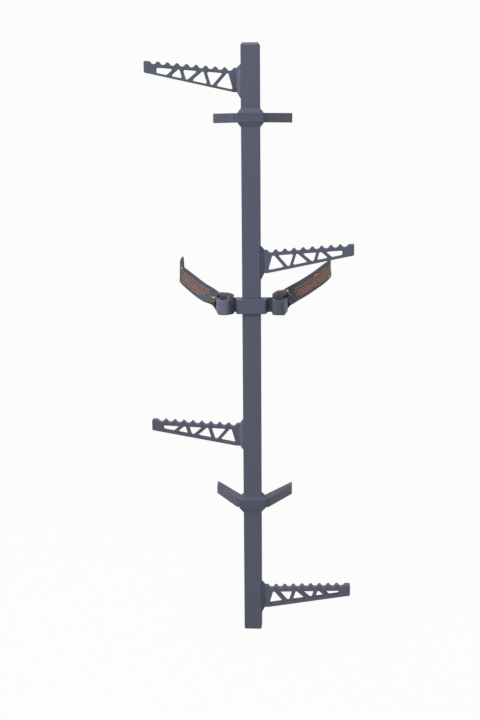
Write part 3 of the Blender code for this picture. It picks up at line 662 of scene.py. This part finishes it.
def drawLine(name, points, closed, sizes=None):
    line = bpy.data.curves.new(name, "CURVE")
    line.dimensions = "2D"
    line.fill_mode = "NONE"
    spline = line.splines.new("POLY")
    spline.points.add(len(points) - 1)
    spline.use_cyclic_u = closed
    for spot, (x, y), size in zip(spline.points, points, sizes or [1] * len(points)):
        spot.co = (x, y, 0, 1)
        spot.radius = size
    drawn = bpy.data.objects.new(name, line)
    scene.collection.objects.link(drawn)
    return drawn


def evenPoints(corners, closed):        # the path in short even steps
    chain = [Vector(corner) for corner in corners]
    if closed:
        chain.append(chain[0])
    points = []
    for near, far in zip(chain, chain[1:]):
        count = max(2, round((far - near).length / weld["grain"]))
        points += [tuple(near.lerp(far, n / count)) for n in range(count)]
    return points if closed else points + [tuple(chain[-1])]


def beadMesh(node, corners, closed, out, up, dice):
    points = evenPoints(corners, closed)
    sizes, start = [], dice.random()
    for i in range(len(points)):
        turn = i * weld["grain"] / weld["pitch"] + start
        scale = 1 - weld["ripple"] * abs(2 * (turn % 1) - 1) ** weld["rippleEdge"]
        swing = weld["swing"] * math.sin(i * weld["swingRate"] + weld["swingStart"] * start)
        scale *= 1 + swing + dice.uniform(-weld["jitter"], weld["jitter"])
        fade = 1 if closed else min(1, weld["endSize"] + weld["endGrowth"] * min(i, len(points) - 1 - i))
        sizes.append(scale * fade)
    face = []
    for n in range(weld["facePoints"]):      # from one toe over the crown to the other
        t = n / (weld["facePoints"] - 1)
        swell = 1 + weld["crown"] * math.sin(math.pi * t)
        face.append((-out * (1 - t) * swell, up * t * swell))
    profile = drawLine("beadProfile", [(0, 0)] + face, True)
    path = drawLine("bead_" + node, points, closed, sizes)
    path.data.bevel_mode = "OBJECT"
    path.data.bevel_object = profile
    path.data.use_fill_caps = not closed
    onlySelect(path)
    bpy.ops.object.convert(target="MESH")
    bead = bpy.context.object
    bpy.data.objects.remove(profile)
    return bead


def layBead(node, bead, place, material=weldCoat):      # move each point of the bead to its joint on the frame
    for vertex in bead.data.vertices:
        vertex.co = place(*vertex.co)
    bpy.ops.object.mode_set(mode="EDIT")
    bpy.ops.mesh.select_all(action="SELECT")
    bpy.ops.mesh.remove_doubles(threshold=weld["join"])
    bpy.ops.mesh.normals_make_consistent(inside=False)
    bpy.ops.object.mode_set(mode="OBJECT")
    bpy.ops.object.shade_smooth_by_angle(angle=weld["smooth"])
    bead.data.materials.clear()
    bead.data.materials.append(material)
    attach(bead, "frame")
    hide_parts(node)


def weldStep(name, side, over, under, dice):
    node = "step_weld_" + name
    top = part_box("step_weld_" + name)[1][2] - weld["stepTop"]
    half, root, start = weld["stepHalf"], weld["stepRoot"], weld["stepStart"]
    corners = [(start, -half), (start, half), (-root, half), (-root, -half)]
    bead = beadMesh(node, corners, True, weld["stepSide"], weld["stepReach"], dice)

    def place(height, depth, reach):
        if height > start:
            height *= over / weld["stepSide"]
        elif height < -root:
            height = -root + (height + root) * under / weld["stepSide"]
        reach *= 1 + weld["stepSwell"] * math.sin(math.pi * clamped(-height / root))       # fuller half way down
        forward = weld["stepLean"] * reach + depth + weld["stepForward"]
        return side * (weld["postHalf"] + reach), -forward, top + height
    # painted light on the left steps' welds, painted shade on the right steps' welds
    layBead(node, bead, place, weldPaintedLit if side < 0 else weldPaintedShade)


def weldBracket(name, dice):
    low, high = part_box("tree_bracket_" + name)
    fuller = eased["tree_bracket_" + name][3]
    half, back = weld["postHalf"], weld["bracketBack"]
    inner = half - weld["bracketCorner"]
    corners = [(half, back), (half, -inner), (inner, -half), (-inner, -half), (-half, -inner), (-half, back)]
    for way, side, tall in zip((1, -1), ("top", "under"), weld["bracketRise"][name]):
        node = "tree_bracket_weld_%s_%s" % (name, side)
        bead = beadMesh(node, corners, False, weld["bracketSide"], tall, dice)

        def place(x, y, rise):
            if y < -half:
                y = -half + (y + half) * weld["bracketFront"] / weld["bracketSide"]
            return x, y, (high[2] + fuller + rise if way > 0 else low[2] - fuller - rise)
        layBead(node, bead, place)


def weldCollar(name, side, dice):
    node = "collar_weld_" + name
    half = weld["collarHalf"]
    bead = beadMesh(node, [(-half, 0), (half, 0)], False, weld["collarLeg"], weld["collarLeg"], dice)
    x, y, z = weld["collar"]
    layBead(node, bead, lambda along, out, reach: (side * (x + abs(out)), y + reach, z + along))


beadDice = random.Random(weld["seed"])
for name, legs in weld["steps"].items():
    weldStep(name, *legs, beadDice)
for name in ("upper", "lower"):
    weldBracket(name, beadDice)
for name, side in (("left", -1), ("right", 1)):
    weldCollar(name, side, beadDice)
print("welds laid")


# floor, light and background
studio = {"floor": ((0.5, 0.48, 0.43, 1), (0.54, 0.52, 0.47, 1)), "floorSize": 14, "floorDrop": 0.0005,
          "floorClouds": 3.0, "floorRoughness": 0.9, "glow": 0.95, "backdrop": (0.974, 0.974, 0.969, 1),
          "sky": 0.66, "skyLeft": 0.3, "skyUp": 0.4, "skyTints": ((1, 1, 1, 1), (1, 0.93, 0.82, 1)),
          "key": 21, "keySize": 1.2, "keyPlace": (-0.5, -1.05, 2.35), "keyColour": (1, 1, 1),
          "fill": 0.4, "fillSize": 2.2, "fillPlace": (2.4, -1.6, 1.0), "fillColour": (1, 0.9, 0.8),
          "aim": (0, 0, 0.55)}


def seenRay(wire):      # camera, mirror and glass rays
    def ray(out):
        return wire.node("LightPath", out=out)
    seen = wire.maths("MAXIMUM", ray("Is Camera Ray"), ray("Is Glossy Ray"))
    return wire.maths("MAXIMUM", seen, ray("Is Transmission Ray"))


def layFloor():
    bpy.ops.object.select_all(action="DESELECT")
    bpy.ops.mesh.primitive_plane_add(size=studio["floorSize"], location=(0, 0, -studio["floorDrop"]))
    floor = bpy.context.object
    floor.name = "studioFloor"
    material, wire, shader = newFinish("paleFloor")
    place = wire.node("TexCoord", out=3)
    wire.feed(shader["Base Color"], wire.blend(wire.noise(place, studio["floorClouds"]), *studio["floor"]))
    shader["Roughness"].default_value = studio["floorRoughness"]
    glow = wire.node("Emission", {}, {"Color": (1, 1, 1, 1), "Strength": 1.0})
    own = Wire(material.node_tree, material.node_tree.nodes["Principled BSDF"].outputs[0])
    mixed = wire.node("MixShader", {}, {0: seenRay(wire) * studio["glow"], 1: own, 2: glow})
    wire.feed(material.node_tree.nodes["Material Output"].inputs["Surface"], mixed)
    floor.data.materials.append(material)


def lightStudio():
    world = bpy.data.worlds.new("studioWorld")
    world.use_nodes = True
    scene.world = world
    wire = Wire(world.node_tree)
    seen = seenRay(wire)
    way = wire.node("TexCoord", out=0)      # brighter to the left and above, like soft boxes there
    right, up = [wire.node("SeparateXYZ", {}, {0: way}, k) for k in (0, 2)]
    level = studio["sky"] * (1 - studio["skyLeft"] * right + studio["skyUp"] * up)
    tint = wire.blend(right * 0.5 + 0.5, *studio["skyTints"])
    sky = world.node_tree.nodes["Background"].inputs
    wire.feed(sky["Strength"], seen + (1 - seen) * level)
    wire.feed(sky["Color"], wire.blend(seen, tint, studio["backdrop"]))
    for name in ("key", "fill"):
        lamp = bpy.data.lights.new(name + "Light", "AREA")
        lamp.energy = studio[name]
        lamp.size = studio[name + "Size"]
        lamp.color = studio[name + "Colour"]
        holder = bpy.data.objects.new(name + "Light", lamp)
        scene.collection.objects.link(holder)
        holder.location = studio[name + "Place"]
        aim = Vector(studio["aim"]) - holder.location
        holder.rotation_euler = aim.to_track_quat("-Z", "Y").to_euler()


layFloor()
lightStudio()
print("studio lit")
